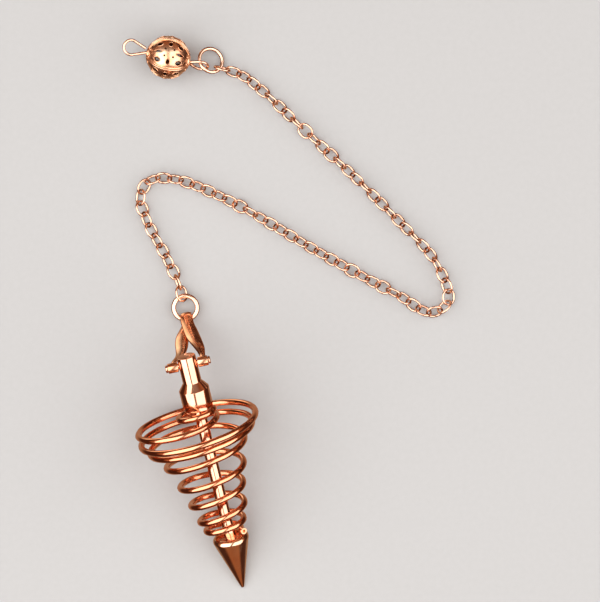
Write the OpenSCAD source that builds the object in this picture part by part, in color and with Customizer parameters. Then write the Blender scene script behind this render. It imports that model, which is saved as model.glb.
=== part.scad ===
// Spiral pendulum on a cable chain, laid out flat as it rests on a table.
// Lengths in millimetres, Z up, the table at Z = 0. The bob lies on its point and on
// the widest turn of its spiral; the bail leans down from the bob's head to the chain.

/* [Bob core] */
// Diameter of the thin stem inside the spiral
stem_d = 2.5; // [1.6:0.1:3.2]
// Visible length of the stem between collar and point
stem_len = 29.6; // [26:0.1:34]
// Diameter of the collar
collar_d = 6.3; // [5.6:0.1:7.4]
// Length of the collar
collar_len = 4.4; // [3:0.1:6]
// Length of the sloping shoulder above the collar
shoulder_len = 1.5; // [0.8:0.1:2.5]
// Diameter of the neck
neck_d = 3.9; // [3.4:0.1:4.4]
// Length of the neck
neck_len = 5.7; // [4.6:0.1:7]
// Bevel on the turned edges
edge_bevel = 0.15; // [0.05:0.05:0.3]

/* [Point] */
// Diameter of the point where it meets the spiral
point_d = 8.3; // [7:0.1:9]
// Length of the point
point_len = 12.5; // [10:0.1:15]
// Radius of the rounded tip
tip_r = 0.4; // [0.2:0.05:0.7]
// Depth of the stem's socket in the point
socket_len = 5; // [3:0.5:7]

/* [Spiral] */
// Diameter of the spiral's wire
coil_wire_d = 1.35; // [1:0.05:1.5]
// Outer diameter of the widest turn
coil_wide_d = 26.4; // [24:0.2:29]
// Outer diameter of the last turn, above the point
coil_foot_d = 8.6; // [8:0.1:9.6]
// Outer diameter of the first turn, under the collar
coil_top_d = 8.9; // [8.2:0.1:9.8]
// Sideways set of the spiral's middle against the stem
coil_set = 1.4; // [0:0.1:2]
// Length of the wire end that turns outwards above the point
coil_tail = 1.1; // [0.6:0.1:1.5]
// Diameter of the dimple in the wire's cut end
dimple_d = 0.6; // [0.3:0.1:0.8]

/* [Cross pin] */
// Diameter of the cross pin
pin_d = 1.2; // [1:0.1:1.3]
// Length of the cross pin
pin_len = 9.4; // [9.3:0.1:11]
// Diameter of the pin's riveted ends
pin_head_d = 1.6; // [1.5:0.1:1.9]
// Distance from the top of the neck to the pin's axis
pin_setback = 1.9; // [1.4:0.1:2.6]

/* [Bail] */
// Length from the pin's axis to the middle of the bail's loop
bail_len = 18.3; // [17.5:0.1:21]
// Width of the strap at the loop
strap_w = 2.7; // [2.2:0.1:2.8]
// Thickness of the strap
strap_t = 0.65; // [0.5:0.05:0.8]
// Inner radius of the loop
loop_r = 0.75; // [0.65:0.05:0.9]
// Outer diameter of the knuckles on the pin
knuckle_d = 2.1; // [2:0.1:2.6]
// Length of each knuckle
knuckle_len = 2.1; // [1.6:0.1:2.4]
// Sideways set of the loop against the middle of the bail
bail_skew = 1.1; // [0.4:0.1:1.2]

/* [Jump rings] */
// Outer diameter of the lower ring
lower_ring_d = 6; // [5.8:0.1:7]
// Wire diameter of the lower ring
lower_wire_d = 1; // [0.7:0.05:1.1]
// Outer diameter of the upper ring
upper_ring_d = 5.9; // [5.4:0.1:6.6]
// Wire diameter of the upper ring
upper_wire_d = 0.75; // [0.6:0.05:0.9]
// Width of the cut where a ring's ends meet
ring_cut = 0.08; // [0.04:0.02:0.2]
// Slope of the upper ring, its side by the bead raised
upper_ring_slope = 26; // [14:1:28]

/* [Chain] */
// Outer length of a link
link_len = 3.75; // [3.6:0.05:4.2]
// Outer width of a link
link_w = 3.4; // [3.2:0.05:3.6]
// Wire diameter of a link
link_wire_d = 0.48; // [0.4:0.02:0.52]
// Roll of the links about the chain's line, each the other way from the last
link_lie = 48; // [42:1:54]

/* [Bead and eye pin] */
// Diameter of the bead over its ribs
bead_d = 9.4; // [8.8:0.1:10.4]
// Thickness of the bead's shell
bead_wall = 0.55; // [0.4:0.05:0.8]
// Width of a rib
rib_w = 0.75; // [0.5:0.05:0.9]
// Height of a rib above the shell
rib_h = 0.2; // [0.1:0.05:0.3]
// Length of the broad openings at a panel's corners
petal_len = 1.5; // [1.2:0.1:1.7]
// Width of the broad openings
petal_w = 1; // [0.7:0.05:1.1]
// Length of the narrow openings at a panel's sides
slot_len = 1.8; // [1.4:0.1:2]
// Width of the narrow openings
slot_w = 0.6; // [0.4:0.05:0.7]
// Diameter of the bead's small round openings
dot_d = 0.45; // [0.3:0.05:0.6]
// Wire diameter of the eye pin
eye_wire_d = 0.6; // [0.5:0.05:0.8]
// Length of the free loop, from the bead outwards
free_loop_len = 5.2; // [4.4:0.1:5.6]
// Length of the loop on the upper ring
held_loop_len = 4.3; // [4:0.1:5]
// Outer width of both loops
loop_w = 3.7; // [3.4:0.1:4]

/* [Hidden] */
gap = 0.1;
round_fn = 64;
wire_fn = 32;
dot_fn = 24;
wire_sides = 8;
rose = [0.86, 0.50, 0.38];
rose_light = [0.93, 0.60, 0.47];
rose_deep = [0.72, 0.38, 0.27];

// Places on the table: ring centres, headings and the chain's chosen points
lower_ring_at = [-22.1, 1];
upper_ring_at = [-16.7, 53.35];
bob_heading = 12.8;
lower_pull = -82.7;
lower_link_angle = 105.6;
upper_link_angle = -36;
upper_hook_angle = 207;
eye_heading = -11.5;
route_points = [
    [-9.8, 50.1], [-4.2, 45.5], [1.4, 40.2], [9, 33.1], [16.3, 26.2], [23.2, 19.2], [29.2, 13.1],
    [31.7, 9.2], [33.4, 5.4], [33.8, 3.2], [33.1, 1.1], [30.9, 0.1], [28.2, 0.2], [24, 3.1], [16.4, 7.1],
    [5, 13.4], [-3.9, 18.7], [-12.9, 23.7], [-22.2, 27.7], [-27.6, 28.5], [-30.2, 27.7],
    [-31.6, 25.3], [-31.6, 22.9], [-29.1, 16.9], [-27, 13.3], [-23.8, 6.8]
];

// Vectors
function unit(v) = v / norm(v);
function along(v, n) = unit(v - (v * n) * n);
function turn_z(v, a) = [v.x * cos(a) - v.y * sin(a), v.x * sin(a) + v.y * cos(a), v.z];
function flat_dir(a) = [cos(a), sin(a), 0];
function on_table(p, z) = [p.x, p.y, z];

// Wires swept along a line of points
function tangents(p) =
    let (last = len(p) - 1)
    [for (i = [0:last]) unit(p[min(i + 1, last)] - p[max(i - 1, 0)])];
function carried(t, start) = [
    for (i = 0, n = along(start, t[0]); i < len(t); i = i + 1, n = i < len(t) ? along(n, t[i]) : n) n
];
function quad(a, b, c, d) = [[a, b, c], [a, c, d]];
function wall(rings, sides) = [
    for (i = [0:rings - 2], j = [0:sides - 1])
        let (k = (j + 1) % sides)
        each quad(i * sides + k, i * sides + j, (i + 1) * sides + j, (i + 1) * sides + k)
];
module swept(rings) {
    sides = len(rings[0]);
    last = (len(rings) - 1) * sides;
    polyhedron(
        points = [for (r = rings) each r],
        faces = concat(
            wall(len(rings), sides),
            [[for (j = [0:sides - 1]) j]],
            [[for (j = [sides - 1:-1:0]) last + j]]
        )
    );
}
function circle_at(c, t, n, r, sides) =
    let (b = cross(t, n))
    [for (j = [0:sides - 1]) c + r * (cos(360 * j / sides) * n + sin(360 * j / sides) * b)];

// The spiral's rows: turns from the start, radius, height and set as shares.
// Radius runs from the foot (0) to the widest turn (1), height from the point (0)
// to the collar (1), and the set is a share of coil_set.
TURN = 0;
RADIUS = 1;
HEIGHT = 2;
SET = 3;
coil_rows = [
    [0, 0, 1, -0.55],
    [0.25, 0, 1, -0.55],
    [0.5, 0, 0.97, -0.55],
    [0.75, 0.01, 0.95, -0.55],
    [1, 0.03, 0.942, -0.55],
    [1.1, 0.1, 0.946, -0.6],
    [1.2, 0.29, 0.951, -0.7],
    [1.35, 0.7, 0.944, -0.85],
    [1.5, 1, 0.903, -0.94],
    [1.7, 1, 0.855, -0.9],
    [2, 0.99, 0.898, -0.86],
    [2.2, 0.98, 0.914, -0.9],
    [2.5, 0.95, 0.83, -0.95],
    [2.7, 0.92, 0.79, -0.93],
    [3, 0.88, 0.832, -0.93],
    [3.2, 0.84, 0.839, -1],
    [3.5, 0.77, 0.757, -1.07],
    [3.7, 0.72, 0.737, -1.07],
    [4, 0.63, 0.718, -1.03],
    [4.2, 0.59, 0.719, -0.93],
    [4.5, 0.52, 0.614, -0.83],
    [4.75, 0.475, 0.553, -0.79],
    [5, 0.435, 0.527, -0.75],
    [5.2, 0.4, 0.518, -0.7],
    [5.5, 0.355, 0.436, -0.65],
    [5.75, 0.32, 0.389, -0.62],
    [6, 0.29, 0.373, -0.6],
    [6.2, 0.265, 0.361, -0.56],
    [6.5, 0.235, 0.274, -0.5],
    [6.75, 0.21, 0.233, -0.46],
    [7, 0.185, 0.213, -0.44],
    [7.2, 0.165, 0.204, -0.44],
    [7.5, 0.13, 0.129, -0.44],
    [7.75, 0.105, 0.097, -0.45],
    [8, 0.08, 0.083, -0.47],
    [8.2, 0.055, 0.09, -0.5],
    [8.5, 0.02, 0.047, -0.55],
    [8.75, 0.01, 0.016, -0.64],
    [9, 0, 0, -0.72]
];
coil_ease = 0.06;
function column(c) = [for (r = coil_rows) [r[TURN], r[c]]];
function coil_share(t, c) =
    let (rows = column(c))
    (lookup(t - coil_ease, rows) + 2 * lookup(t, rows) + lookup(t + coil_ease, rows)) / 4;
coil_wire_r = coil_wire_d / 2;
coil_wide_r = (coil_wide_d - coil_wire_d) / 2;
coil_foot_r = (coil_foot_d - coil_wire_d) / 2;
coil_top_r = (coil_top_d - coil_wire_d) / 2;
coil_low = point_len + coil_wire_r + gap;
coil_high = point_len + stem_len - coil_wire_r - gap;
coil_turns = coil_rows[len(coil_rows) - 1][TURN];
coil_steps = 20;
tail_heading = -38;
tail_bend = 0.45;
function coil_radius(t) =
    let (s = coil_share(t, RADIUS), least = t < 1 ? coil_top_r : coil_foot_r)
    least + s * (coil_wide_r - least);
function coil_height(t) = coil_low + coil_share(t, HEIGHT) * (coil_high - coil_low);
function coil_point(t) =
    let (a = -360 * t, r = coil_radius(t))
    [r * cos(a) + coil_set * coil_share(t, SET), r * sin(a), coil_height(t)];
coil_line = [for (i = [0:coil_turns * coil_steps]) coil_point(i / coil_steps)];

// How the bob lies: tilted until its lowest turn is as low as its tip
function lie(p) =
    let (up = p.z - tip_r, reach = norm([up, p.y]))
    asin((coil_wire_r - tip_r) / reach) + atan(p.y / up);
bob_tilt = max([for (p = coil_line) lie(p)]);
bob_len = point_len + stem_len + collar_len + shoulder_len + neck_len;
pin_t = bob_len - pin_setback;
pin_z = tip_r + (pin_t - tip_r) * sin(bob_tilt);
bob_side = flat_dir(bob_heading);
bob_down = flat_dir(bob_heading - 90);

// The bail leans from the pin down to the table, its loop resting there
loop_mid_r = loop_r + strap_t / 2;
loop_z = loop_r + strap_t;
bail_lean = asin(min(1, (pin_z - loop_z) / bail_len));
lower_ring_r = (lower_ring_d - lower_wire_d) / 2;
ring_play = 0.15;
loop_at = on_table(lower_ring_at, loop_z) + (lower_ring_r - ring_play) * flat_dir(lower_pull);
bail_up = [bob_down.x * cos(bail_lean), bob_down.y * cos(bail_lean), sin(bail_lean)];
bail_out = cross(bail_up, bob_side);
pin_at = loop_at + bail_len * bail_up - bail_skew * bob_side;
tip_at = pin_at - (pin_t - tip_r) * [-bob_down.x * cos(bob_tilt), -bob_down.y * cos(bob_tilt), sin(bob_tilt)];
knuckle_gap = 0.15;
knuckle_at = neck_d / 2 + knuckle_gap + knuckle_len / 2;

// The legs' rows: share of the bail's length, then the left and the right leg's shares
// of the knuckle's place, and shares of the loop's radius and of the strap's width
leg_rows = [
    [0.03, 0, 0, 0.96, 0.9],
    [0.1, -0.05, 0.03, 0.75, 1],
    [0.2, -0.18, 0.1, 0.6, 1],
    [0.33, -0.36, 0.25, 0.5, 1.07],
    [0.47, -0.42, 0.42, 0.5, 1.07],
    [0.6, -0.44, 0.62, 0.5, 0.95],
    [0.75, -0.55, 0.86, 0.3, 0.72],
    [0.88, -0.9, 0.98, 0, 0.45],
    [0.96, -1, 1, 0, 0.5]
];
loop_narrow = 0.85;
loop_sweep = 100;
loop_steps = 8;
strap_sides = 12;
function strap_ring(c, t, w) =
    let (n = along([0, 1, 0], t), b = cross(t, n))
    [for (j = [0:strap_sides - 1])
        let (a = 360 * j / strap_sides)
        c + w / 2 * cos(a) * n + strap_t / 2 * sin(a) * b];
function leg_centre(row, way) = [
    row[0] * bail_len,
    row[way < 0 ? 1 : 2] * knuckle_at + bail_skew * (1 - row[0]),
    way * row[3] * loop_mid_r
];
function loop_centre(a) = [-loop_mid_r * cos(a), bail_skew, loop_mid_r * sin(a)];
leg_count = len(leg_rows);
strap_line = concat(
    [for (i = [leg_count - 1:-1:0]) leg_centre(leg_rows[i], -1)],
    [for (i = [0:loop_steps]) loop_centre(loop_sweep * (2 * i / loop_steps - 1))],
    [for (i = [0:leg_count - 1]) leg_centre(leg_rows[i], 1)]
);
function strap_width(i) =
    i < leg_count ? leg_rows[leg_count - 1 - i][4]
    : i > leg_count + loop_steps ? leg_rows[i - leg_count - loop_steps - 1][4] : loop_narrow;

// Lower ring and the link on it
link_r = link_wire_d / 2;
link_half_l = (link_len - link_wire_d) / 2;
link_half_w = (link_w - link_wire_d) / 2;
function link_rest(roll) = link_r + link_half_w * sin(abs(roll));
lower_cut_at = 120;
lower_slack = 0.2;
last_link = lower_ring_at + (lower_ring_r + link_half_l - lower_wire_d / 2 - link_r - gap - lower_slack)
    * [cos(lower_link_angle), sin(lower_link_angle)];

// Upper ring, eye pin and bead
upper_ring_r = (upper_ring_d - upper_wire_d) / 2;
upper_slack = 0.55;
upper_cut_at = -60;
first_link = upper_ring_at + (upper_ring_r + link_half_l - upper_wire_d / 2 - link_r - gap - upper_slack)
    * [cos(upper_link_angle), sin(upper_link_angle)];
bead_r = bead_d / 2;
eye_r = eye_wire_d / 2;
loop_offset = 0.6;
loop_lean = loop_offset * eye_wire_d;
loop_corners = 16;
held_roll = 66;
held_end = bead_r + held_loop_len - eye_r;
hook_slack = 0.8;
hook_back = upper_wire_d / 2 + eye_r + gap + hook_slack;
ring_lift = 0.4;
ring_sink = 0.2;
hook_z = upper_wire_d / 2 + ring_lift + 2 * upper_ring_r * sin(upper_ring_slope);
eye_dip = asin(min(1, (bead_r - ring_sink - hook_z) / (held_end - hook_back)));
eye_dir = turn_z([cos(eye_dip), 0, -sin(eye_dip)], eye_heading);
upper_mid = on_table(upper_ring_at, hook_z - upper_ring_r * sin(upper_ring_slope));
hook_at = upper_mid + upper_ring_r
    * [cos(upper_hook_angle) * cos(upper_ring_slope), sin(upper_hook_angle) * cos(upper_ring_slope),
       sin(upper_ring_slope)];
bead_at = hook_at - (held_end - hook_back) * eye_dir + [0, 0, ring_sink];

// Chain: links at even steps along a smooth line through the chosen points
function smooth_at(a, b, c, d, t) =
    0.5 * (2 * b + (c - a) * t + (2 * a - 5 * b + 4 * c - d) * t * t + (3 * b - a - 3 * c + d) * t * t * t);
knots = concat([first_link], route_points, [last_link]);
knot_last = len(knots) - 1;
function knot(i) =
    i < 0 ? 2 * knots[0] - knots[1] : i > knot_last ? 2 * knots[knot_last] - knots[knot_last - 1] : knots[i];
per_knot = 12;
route = [
    for (i = [0:knot_last * per_knot])
        let (k = min(floor(i / per_knot), knot_last - 1))
        smooth_at(knot(k - 1), knot(k), knot(k + 1), knot(k + 2), i / per_knot - k)
];
travel = [
    for (i = 0, s = 0; i < len(route); i = i + 1, s = s + (i < len(route) ? norm(route[i] - route[i - 1]) : 0)) s
];
chain_len = travel[len(travel) - 1];
link_play = 0.15;
nominal_pitch = link_len - 2 * link_wire_d - 2 * link_play;
link_steps = round(chain_len / nominal_pitch);
pitch = chain_len / link_steps;
route_x = [for (i = [0:len(route) - 1]) [travel[i], route[i].x]];
route_y = [for (i = [0:len(route) - 1]) [travel[i], route[i].y]];
function place(s) = [lookup(s, route_x), lookup(s, route_y)];
lie_sway = 3;
lie_beat = 53;
odd_extra = 7;
up_lie = 76;
half_up_lie = 68;
open_lie = 35;
stood_up = [0, 5, 8, 13, 16, 19, 22, 25, 67];
half_up = [10, 34, 48];
laid_open = [9, 12, 28, 35, 38, 49];
function listed(i, list) = len([for (k = list) if (k == i) k]) > 0;
function link_lean(i) =
    listed(i, stood_up) ? up_lie
    : listed(i, half_up) ? half_up_lie
    : listed(i, laid_open) ? open_lie
    : link_lie + (i % 2) * odd_extra + lie_sway * sin(i * lie_beat);
function link_roll(i) = (i % 2 == 1 ? 1 : -1) * link_lean(i);
function link_height(i) =
    max(link_rest(link_roll(i)), (link_rest(link_roll(i - 1)) + link_rest(link_roll(i + 1))) / 2);
function joint(i) =
    let (s = (i - 0.5) * pitch)
    s < 0 ? 2 * place(0) - place(-s)
    : s > chain_len ? 2 * place(chain_len) - place(2 * chain_len - s) : place(s);
end_stations = 6;
link_sides = 6;
function link_line() = [
    for (side = [1, -1], k = [0:end_stations - 1])
        let (a = -90 + 180 * k / (end_stations - 1))
        side * [link_half_l - link_half_w + link_half_w * cos(a), link_half_w * sin(a)]
];
function link_out() = [
    for (side = [1, -1], k = [0:end_stations - 1])
        let (a = -90 + 180 * k / (end_stations - 1))
        side * [cos(a), sin(a)]
];
function link_points(i) =
    let (
        at = (joint(i) + joint(i + 1)) / 2,
        ahead = unit(joint(i + 1) - joint(i)),
        u = [ahead.x, ahead.y, 0],
        roll = link_roll(i),
        v = [-u.y * cos(roll), u.x * cos(roll), sin(roll)],
        w = cross(u, v),
        c = [at.x, at.y, link_height(i)],
        line = link_line(),
        out = link_out()
    )
    [for (k = [0:len(line) - 1], j = [0:link_sides - 1])
        let (
            b = 360 * j / link_sides,
            q = line[k] + link_r * cos(b) * out[k]
        )
        c + q.x * u + q.y * v + link_r * sin(b) * w];
link_rings = 2 * end_stations;
function link_faces(first) = [
    for (k = [0:link_rings - 1], j = [0:link_sides - 1])
        let (
            kk = (k + 1) % link_rings,
            jj = (j + 1) % link_sides,
            a = first + k * link_sides,
            b = first + kk * link_sides
        )
        each quad(a + j, a + jj, b + jj, b + j)
];

// The lower ring lies level with the bail's loop on one side and the last link on the other
lower_far_z = link_height(link_steps);
lower_slope = asin((loop_z - lower_far_z) / (2 * lower_ring_r));
lower_mid = on_table(lower_ring_at, (loop_z + lower_far_z) / 2);

// The bead's pattern, one panel between each two ribs
panels = 4;
bead_roll = 37;
boss_d = 3;
hole_play = 0.65;
petal_rise = 30;
petal_spread = 25;
dot_rise = 12;
dot_spread = 10;
pole_dots = 8;
pole_rise = 54;
bead_hole_d = eye_wire_d + 2 * hole_play;
bead_tilt = asin(2 * (hole_play - gap) / bead_d);
middle_share = 0.8;

// Frames that carry the bob and the rings to their places
module bob_frame() {
    translate(tip_at)
        rotate([0, 0, bob_heading])
            rotate([bob_tilt - 90, 0, 0])
                translate([0, 0, -tip_r])
                    children();
}
module sloped(at, towards, slope) {
    translate(at)
        rotate([0, 0, towards])
            rotate([0, -slope, 0])
                children();
}
module turned(profile) {
    rotate_extrude($fn = round_fn)
        polygon(profile);
}

// Neck, shoulder, collar and stem in one turned piece, drilled for the pin
module bob_core() {
    stem_r = stem_d / 2;
    collar_r = collar_d / 2;
    neck_r = neck_d / 2;
    seat = point_len - socket_len + gap;
    collar_t = point_len + stem_len;
    shoulder_t = collar_t + collar_len;
    neck_t = shoulder_t + shoulder_len;
    color(rose_light)
        bob_frame()
            difference() {
                turned([
                    [0, seat],
                    [stem_r, seat],
                    [stem_r, collar_t],
                    [collar_r - edge_bevel, collar_t],
                    [collar_r, collar_t + edge_bevel],
                    [collar_r, shoulder_t - edge_bevel],
                    [collar_r - edge_bevel, shoulder_t],
                    [neck_r, neck_t],
                    [neck_r, bob_len - edge_bevel],
                    [neck_r - edge_bevel, bob_len],
                    [0, bob_len]
                ]);
                translate([0, 0, pin_t])
                    rotate([0, 90, 0])
                        cylinder(d = pin_d + gap, h = 2 * neck_d, center = true, $fn = round_fn);
            }
}

// Solid cone with a rounded tip and a socket for the stem
module point() {
    slope = atan((point_d / 2 - tip_r) / (point_len - tip_r));
    color(rose_deep)
        bob_frame()
            difference() {
                turned(concat(
                    [for (a = [-90:10:-10]) tip_r * [cos(a), 1 + sin(a)]],
                    [
                        tip_r * [cos(slope), 1 - sin(slope)],
                        [point_d / 2, point_len - edge_bevel],
                        [point_d / 2 - edge_bevel, point_len],
                        [0, point_len]
                    ]
                ));
                translate([0, 0, point_len - socket_len])
                    cylinder(d = stem_d + gap, h = 2 * socket_len, $fn = round_fn);
            }
}

// Conical wire coil, its lower end turned outwards and dimpled
module spiral() {
    count = len(coil_line);
    end = coil_line[count - 1];
    run = unit(end - coil_line[count - 2]);
    out = flat_dir(tail_heading);
    bend = end + tail_bend * coil_tail * (run + out);
    cut = bend + (1 - tail_bend) * coil_tail * out;
    line = concat(coil_line, [bend, cut]);
    ways = tangents(line);
    sideways = [for (t = ways) along([0, 0, 1], t)];
    last = len(line) - 1;
    dimple = dimple_d / 2;
    dimple_floor = dimple / 3;
    color(rose)
        bob_frame()
            swept(concat(
                [for (i = [0:last]) circle_at(line[i], ways[i], sideways[i], coil_wire_r, wire_sides)],
                [
                    circle_at(cut, ways[last], sideways[last], dimple, wire_sides),
                    circle_at(cut - dimple * ways[last], ways[last], sideways[last], dimple_floor, wire_sides)
                ]
            ));
}

// Straight rod with riveted ends
module cross_pin() {
    shank_r = pin_d / 2;
    head_r = pin_head_d / 2;
    head_len = pin_len / 2 - knuckle_at - knuckle_len / 2 - gap;
    crown = min(head_len, head_r) / 2;
    color(rose)
        bob_frame()
            translate([0, 0, pin_t])
                rotate([0, 90, 0])
                    turned([
                        [0, -pin_len / 2],
                        [head_r - crown, -pin_len / 2],
                        [head_r, crown - pin_len / 2],
                        [head_r, head_len - pin_len / 2],
                        [shank_r, head_len - pin_len / 2],
                        [shank_r, pin_len / 2 - head_len],
                        [head_r, pin_len / 2 - head_len],
                        [head_r, pin_len / 2 - crown],
                        [head_r - crown, pin_len / 2],
                        [0, pin_len / 2]
                    ]);
}

// Strap folded round the lower ring, its two legs spread to knuckles on the pin
module bail() {
    ways = tangents(strap_line);
    function to_part(p) = p.x * bail_up + (p.y - bail_skew) * bob_side + p.z * bail_out;
    color(rose)
        difference() {
            union() {
                translate(loop_at)
                    swept([
                        for (i = [0:len(strap_line) - 1])
                            [for (p = strap_ring(strap_line[i], ways[i], strap_w * strap_width(i))) to_part(p)]
                    ]);
                for (way = [-1, 1])
                    knuckle(way, knuckle_d, knuckle_len);
            }
            for (way = [-1, 1])
                knuckle(way, pin_d + 2 * gap, 2 * knuckle_len);
        }
}
module knuckle(way, d, h) {
    bob_frame()
        translate([way * knuckle_at, 0, pin_t])
            rotate([0, 90, 0])
                cylinder(d = d, h = h, center = true, $fn = round_fn);
}

// Open round ring, the cut facing the given way
module jump_ring(r, wire_d, cut_at) {
    cut = 360 * ring_cut / (2 * PI * r);
    rotate([0, 0, cut_at + cut / 2])
        rotate_extrude(angle = 360 - cut, $fn = round_fn)
            translate([r, 0])
                circle(d = wire_d, $fn = wire_fn);
}
module ring_lower() {
    color(rose_light)
        sloped(lower_mid, lower_pull, lower_slope)
            jump_ring(lower_ring_r, lower_wire_d, lower_cut_at);
}
module ring_upper() {
    color(rose_light)
        sloped(upper_mid, upper_hook_angle, upper_ring_slope)
            jump_ring(upper_ring_r, upper_wire_d, upper_cut_at);
}

// All links of the chain, loose and interlocked
module chain() {
    per_link = link_rings * link_sides;
    color(rose_light)
        polyhedron(
            points = [for (i = [0:link_steps]) each link_points(i)],
            faces = [for (i = [0:link_steps]) each link_faces(i * per_link)]
        );
}

// Wire through the bead, bent to a drop-shaped loop at either end
function drop_loop(length) =
    let (
        r = loop_w / 2 - eye_r,
        mid = [length - r - eye_r, -loop_lean],
        away = norm(mid),
        open = 180 - atan2(-mid.y, mid.x) - acos(min(1, r / away))
    )
    concat(
        [for (i = [0:loop_corners])
            let (a = open * (1 - 2 * i / loop_corners))
            mid + r * [cos(a), sin(a)]],
        [[eye_r, -2 * loop_lean - gap]]
    );
module eye_pin() {
    across = unit(cross([0, 0, 1], eye_dir));
    up = cross(eye_dir, across);
    held_side = cos(held_roll) * across + sin(held_roll) * up;
    free_end = [for (p = drop_loop(free_loop_len)) bead_at - (bead_r + p.x) * eye_dir - p.y * across];
    held = [for (p = drop_loop(held_loop_len)) bead_at + (bead_r + p.x) * eye_dir + p.y * held_side];
    last = len(free_end) - 1;
    line = concat(
        [for (i = [last:-1:0]) free_end[i]],
        [bead_at - bead_r * eye_dir, bead_at + bead_r * eye_dir],
        held
    );
    ways = tangents(line);
    sideways = carried(ways, up);
    color(rose_light)
        swept([for (i = [0:len(line) - 1]) circle_at(line[i], ways[i], sideways[i], eye_r, wire_sides)]);
}

// Hollow ribbed ball, each panel pierced like a flower
module petal(length, width) {
    r = (length * length / width + width) / 4;
    linear_extrude(height = bead_d)
        intersection() {
            translate([0, r - width / 2])
                circle(r = r, $fn = round_fn);
            translate([0, width / 2 - r])
                circle(r = r, $fn = round_fn);
        }
}
module bead() {
    shell_r = bead_r - rib_h;
    color(rose)
        translate(bead_at)
            rotate([0, 0, eye_heading])
                rotate([0, 90 + eye_dip - bead_tilt, 0])
                    rotate([0, 0, bead_roll])
                        difference() {
                            union() {
                                sphere(r = shell_r, $fn = round_fn);
                                intersection() {
                                    sphere(r = bead_r, $fn = round_fn);
                                    union() {
                                        for (i = [0:panels / 2 - 1])
                                            rotate([0, 0, 360 * i / panels])
                                                cube([bead_d, rib_w, bead_d], center = true);
                                        cylinder(d = boss_d, h = bead_d, center = true, $fn = round_fn);
                                    }
                                }
                            }
                            sphere(r = shell_r - bead_wall, $fn = round_fn);
                            cylinder(d = bead_hole_d, h = 2 * bead_d, center = true, $fn = round_fn);
                            for (i = [0:panels - 1])
                                rotate([0, 0, 360 * (i + 0.5) / panels])
                                    panel_holes();
                            for (i = [0:pole_dots - 1], way = [-1, 1])
                                rotate([0, 90 + way * pole_rise, 360 * (i + 0.5) / pole_dots])
                                    cylinder(d = dot_d, h = bead_d, $fn = dot_fn);
                        }
}
module panel_holes() {
    for (rise = [-1, 1], spread = [-1, 1]) {
        rotate([0, 90 + rise * petal_rise, spread * petal_spread])
            petal(petal_len, petal_w);
        rotate([0, 90 + rise * dot_rise, spread * dot_spread])
            cylinder(d = dot_d, h = bead_d, $fn = dot_fn);
    }
    for (rise = [-1, 1])
        rotate([0, 90 + rise * petal_rise, 0])
            petal(slot_len, slot_w);
    for (spread = [-1, 1])
        rotate([0, 90, spread * petal_spread])
            rotate([0, 0, 90])
                petal(middle_share * petal_len, middle_share * petal_w);
}

bob_core();
point();
spiral();
cross_pin();
bail();
ring_lower();
chain();
ring_upper();
eye_pin();
bead();
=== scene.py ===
import math
import bmesh
import bpy
from mathutils import Matrix, Vector


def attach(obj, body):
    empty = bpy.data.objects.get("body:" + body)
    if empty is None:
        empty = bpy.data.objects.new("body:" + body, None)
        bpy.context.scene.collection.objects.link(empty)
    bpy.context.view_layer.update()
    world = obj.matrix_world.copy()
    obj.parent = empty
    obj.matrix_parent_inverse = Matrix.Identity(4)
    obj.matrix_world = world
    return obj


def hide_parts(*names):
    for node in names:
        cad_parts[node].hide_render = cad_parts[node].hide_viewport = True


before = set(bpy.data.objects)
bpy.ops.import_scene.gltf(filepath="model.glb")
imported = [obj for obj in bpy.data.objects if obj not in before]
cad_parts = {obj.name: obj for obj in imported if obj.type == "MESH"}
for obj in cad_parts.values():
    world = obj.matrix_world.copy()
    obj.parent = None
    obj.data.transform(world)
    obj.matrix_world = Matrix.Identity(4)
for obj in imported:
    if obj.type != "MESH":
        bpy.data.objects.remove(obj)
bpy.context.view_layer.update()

mm = 0.001  # lengths are typed in millimetres and angles in degrees, unless a note says otherwise
up = Vector((0, 0, 1))
weld = {"lathe": 0.000004, "wire": 0.000002}  # points closer than this, in metres, are one
smoothTo = {"lathe": 28, "wire": 40, "strap": 50, "shell": 35}  # degrees; sharper edges stay sharp
aroundSteps = {"bob": 128, "small": 48, "rib": 120}  # steps of a full turn on the lathe
wireRoundness = 4  # bevel resolution of a drawn wire


def clearSelection():
    if bpy.context.object and bpy.context.object.mode != "OBJECT":
        bpy.ops.object.mode_set(mode="OBJECT")
    bpy.ops.object.select_all(action="DESELECT")


def pick(*pieces):
    clearSelection()
    for piece in pieces:
        piece.select_set(True)
    bpy.context.view_layer.objects.active = pieces[0]


def setDown(piece, place):  # moves a piece made at the origin and bakes its place into the mesh
    piece.matrix_world = place
    pick(piece)
    bpy.ops.object.transform_apply(location=True, rotation=True, scale=True)
    return piece


def turned(degrees, axis):
    return Matrix.Rotation(math.radians(degrees), 4, axis)


def shifted(x, y, z):
    return Matrix.Translation(Vector((x, y, z)) * mm)


def flatWay(degrees):
    return Vector((math.cos(math.radians(degrees)), math.sin(math.radians(degrees)), 0))


def frameOf(xWay, yWay, zWay, at):  # a place from three directions and a point in millimetres
    return Matrix((
        (xWay.x, yWay.x, zWay.x, at.x * mm),
        (xWay.y, yWay.y, zWay.y, at.y * mm),
        (xWay.z, yWay.z, zWay.z, at.z * mm),
        (0, 0, 0, 1)))


def smoothRun(points, steps):  # Catmull-Rom through the points
    def knot(i):
        if i < 0:
            return points[0] * 2 - points[1]
        if i >= len(points):
            return points[-1] * 2 - points[-2]
        return points[i]
    run = []
    for i in range(len(points) - 1):
        a, b, c, d = knot(i - 1), knot(i), knot(i + 1), knot(i + 2)
        for k in range(steps):
            t = k / steps
            run.append((b * 2 + (c - a) * t + (a * 2 - b * 5 + c * 4 - d) * t * t
                        + (b * 3 - a - c * 3 + d) * t ** 3) * 0.5)
    run.append(points[-1])
    return run


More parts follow.
